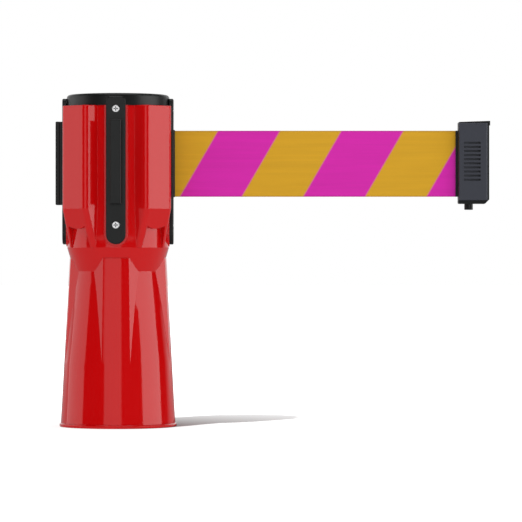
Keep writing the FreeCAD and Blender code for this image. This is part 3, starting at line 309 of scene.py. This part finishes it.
def belt():
    """The taut webbing as a fine strip with thicker woven edges and a slight ripple."""
    low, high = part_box("belt_run")
    left, right = low[0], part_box("belt_clamp_pin")[0][0]
    foot, top = low[2], high[2]
    mesh = bmesh.new()

    def column(x):
        """One section of the strip, up its front face and down its back."""
        # nothing moves where the belt is held, at the mouth and at the clamp
        held = math.sin(math.pi * min(1.0, max(0.0, (x - left) / (right - left)))) ** HELD_POWER
        ring = []
        for side in (-1, 1):
            for step in range(BELT_ROWS + 1):
                share = step / BELT_ROWS if side < 0 else 1 - step / BELT_ROWS
                z = foot + (top - foot) * share
                from_edge = min(z - foot, top - z)
                bead = BEAD_HEIGHT * math.exp(-((from_edge - BEAD_INSET) / BEAD_WIDTH) ** 2)
                thin = RIM_SHARE if from_edge < 1e-9 else 1.0
                waves = math.sin(x * WAVE_X + z * WAVE_Z) * math.cos(z * CROSS_Z - x * CROSS_X)
                ripple = held * RIPPLE * waves
                ring.append(mesh.verts.new((x, side * (BELT_HALF * thin + bead) + ripple, z)))
        return ring

    rings = [column(left + (right - left) * index / BELT_COLUMNS) for index in range(BELT_COLUMNS + 1)]
    for first, second in zip(rings, rings[1:]):
        count = len(first)
        for index in range(count):
            after = (index + 1) % count
            mesh.faces.new((first[index], second[index], second[after], first[after]))
    mesh.faces.new(rings[0])
    mesh.faces.new(list(reversed(rings[-1])))
    bmesh.ops.recalc_face_normals(mesh, faces=mesh.faces)
    data = bpy.data.meshes.new("belt")
    mesh.to_mesh(data)
    mesh.free()
    for face in data.polygons:
        face.use_smooth = len(face.vertices) == 4
    piece = bpy.data.objects.new("belt", data)
    bpy.context.scene.collection.objects.link(piece)
    data.materials.append(MATERIALS["webbing"])
    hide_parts("belt_run")
    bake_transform(piece)


belt()


# ---------------------------------------------------------------- plunger spring
def plunger_spring():
    """A copy of the coil, in the place of the imported one."""
    source = NODES["plunger_spring"]
    piece = bpy.data.objects.new("plunger_coil", source.data.copy())
    piece.matrix_world = source.matrix_world.copy()
    bpy.context.scene.collection.objects.link(piece)
    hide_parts("plunger_spring")
    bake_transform(piece)


plunger_spring()


# ---------------------------------------------------------------- studio
FLOOR_HALF = 14.0
FLOOR_COLOUR = 0.50
FLOOR_IN_GLOSS = 0.20               # the floor's colour where a glossy surface mirrors it
GLOW_FROM, GLOW_TO = 0.05, 0.36     # distance from the object's foot over which the floor turns white
GLOW_NEAR = 0.04
BEHIND_FROM, BEHIND_TO = 0.50, 0.85     # +Y share of a mirrored ray's direction over which it turns white
AMBIENT = 0.62
AIM = Vector((0.0, 0.0, 0.13))

# name, azimuth and elevation in degrees, distance, width and height in metres, radiance
MIRRORED_LAMPS = (("right_box", 76, 12, 1.0, 0.89, 1.0, 2.15),
                  ("left_box", -98.5, 12, 1.0, 0.98, 1.0, 1.10),
                  ("front_panel", -8.5, 14, 1.6, 1.05, 1.2, 0.80))
MATTE_LAMPS = (("front_fill", 35, 15, 2.6, 2.2, 1.8, 0.80),
               ("back_fill", 190, 20, 2.6, 2.2, 1.8, 0.90))
TOP_LAMP = ("top_panel", 20, 84, 1.4, 1.2, 1.2, 1.3)

KEY_AZIMUTH, KEY_ELEVATION = -34.5, 54.2
KEY_ENERGY = 5.6
KEY_ANGLE = 2.0
KEY_BLOCKERS = ("housing", "top_cap", "left_receiver", "front_receiver", "rear_receiver", "belt_mouth")

EYE = (0.1083, -2.5, 0.1252)
FIELD_OF_VIEW = 9.05                # degrees
SENSOR_WIDTH = 36.0
CLIP_START, CLIP_END = 0.05, 60.0


def seen_directly(tree):
    """The ray kinds, and one for rays from the camera or through a clear surface."""
    path = tree.node("ShaderNodeLightPath").outputs
    return path, tree.math("MAXIMUM", path["Is Camera Ray"], path["Is Transmission Ray"])


def floor():
    """A pale floor that keeps the shadow near the head and goes white further off."""
    material = bpy.data.materials.new("floor")
    material.use_nodes = True
    material.node_tree.nodes.clear()
    tree = Tree(material.node_tree)
    path, direct = seen_directly(tree)
    tint = tree.span(path["Is Glossy Ray"], 0.0, 1.0, FLOOR_COLOUR, FLOOR_IN_GLOSS)
    matte = tree.node("ShaderNodeBsdfDiffuse", {"Color": tint}).outputs[0]
    place = tree.node("ShaderNodeTexCoord").outputs["Object"]
    reach = tree.node("ShaderNodeVectorMath", {0: place}, operation="LENGTH").outputs["Value"]
    rise = tree.span(reach, GLOW_FROM, GLOW_TO, GLOW_NEAR, 1.0)
    glow = tree.node("ShaderNodeEmission", {"Strength": tree.math("MULTIPLY", direct, rise)}).outputs[0]
    both = tree.node("ShaderNodeAddShader", {0: matte, 1: glow}).outputs[0]
    tree.node("ShaderNodeOutputMaterial", {"Surface": both})

    size = FLOOR_HALF
    data = bpy.data.meshes.new("floor")
    data.from_pydata([(-size, -size, 0), (size, -size, 0), (size, size, 0), (-size, size, 0)],
                     [], [(0, 1, 2, 3)])
    sheet = bpy.data.objects.new("floor", data)
    bpy.context.scene.collection.objects.link(sheet)
    data.materials.append(material)
    return sheet


def world():
    """White where it is seen directly or mirrored from behind, and an even fill for matte faces."""
    made = bpy.data.worlds.new("studio")
    bpy.context.scene.world = made
    made.use_nodes = True
    made.node_tree.nodes.clear()
    tree = Tree(made.node_tree)
    path, direct = seen_directly(tree)
    place = tree.node("ShaderNodeTexCoord").outputs["Generated"]
    towards = tree.node("ShaderNodeSeparateXYZ", {0: place}).outputs["Y"]
    behind = tree.span(towards, BEHIND_FROM, BEHIND_TO, 0.0, 1.0)
    white = tree.math("MAXIMUM", direct, tree.math("MULTIPLY", path["Is Glossy Ray"], behind))
    fill = tree.math("MULTIPLY", path["Is Diffuse Ray"], AMBIENT)
    strength = tree.math("MAXIMUM", white, fill)
    back = tree.node("ShaderNodeBackground", {"Color": rgb(1, 1, 1), "Strength": strength}).outputs[0]
    tree.node("ShaderNodeOutputWorld", {"Surface": back})


def hold(name, lamp, azimuth, elevation, distance=0.0):
    """A lamp that shines at the head; azimuth 0 is on the camera's side and 90 is towards +X."""
    turn, lift = math.radians(azimuth), math.radians(elevation)
    away = Vector((math.sin(turn) * math.cos(lift), -math.cos(turn) * math.cos(lift), math.sin(lift)))
    holder = bpy.data.objects.new(name, lamp)
    if distance:
        holder.location = AIM + away * distance
    holder.rotation_mode = "QUATERNION"
    holder.rotation_quaternion = away.to_track_quat("Z", "Y")
    bpy.context.scene.collection.objects.link(holder)
    return holder


def softbox(name, azimuth, elevation, distance, width, height, radiance):
    """A rectangular lamp that the camera doesn't see."""
    lamp = bpy.data.lights.new(name, "AREA")
    lamp.shape = "RECTANGLE"
    lamp.size = width
    lamp.size_y = height
    lamp.energy = radiance * math.pi * width * height
    holder = hold(name, lamp, azimuth, elevation, distance)
    holder.visible_camera = False
    return holder


def linked(name, *objects, state="INCLUDE"):
    """A collection for light linking."""
    made = bpy.data.collections.new(name)
    for item in objects:
        made.objects.link(item)
    for entry in made.collection_objects:
        entry.light_linking.link_state = state
    return made


def key():
    """A small far lamp that only casts the head's shadow on the floor."""
    lamp = bpy.data.lights.new("key", "SUN")
    lamp.energy = KEY_ENERGY
    lamp.angle = math.radians(KEY_ANGLE)
    holder = hold("key", lamp, KEY_AZIMUTH, KEY_ELEVATION)
    holder.light_linking.receiver_collection = linked("lit_by_key", ground)
    holder.light_linking.blocker_collection = linked("shading_key", *[NODES[name] for name in KEY_BLOCKERS])


def camera():
    """Level, square on to the belt, at the distance that shows the rim and the cap alike."""
    lens = bpy.data.cameras.new("camera")
    eye = bpy.data.objects.new("camera", lens)
    eye.location = EYE
    eye.rotation_euler = (math.pi / 2, 0, 0)
    lens.sensor_width = SENSOR_WIDTH
    lens.lens = SENSOR_WIDTH / 2 / math.tan(math.radians(FIELD_OF_VIEW / 2))
    lens.clip_start = CLIP_START
    lens.clip_end = CLIP_END
    bpy.context.scene.collection.objects.link(eye)
    bpy.context.scene.camera = eye


ground = floor()
world()
all_but_floor = linked("all_but_floor", ground, state="EXCLUDE")
mirrored = [softbox(*lamp) for lamp in MIRRORED_LAMPS]
for holder in mirrored:
    holder.visible_diffuse = False
matte_only = [softbox(*lamp) for lamp in MATTE_LAMPS]
for holder in matte_only:
    holder.visible_glossy = False
for holder in (*mirrored, *matte_only, softbox(*TOP_LAMP)):
    holder.light_linking.receiver_collection = all_but_floor
key()
camera()
bpy.context.scene.view_settings.view_transform = "Standard"
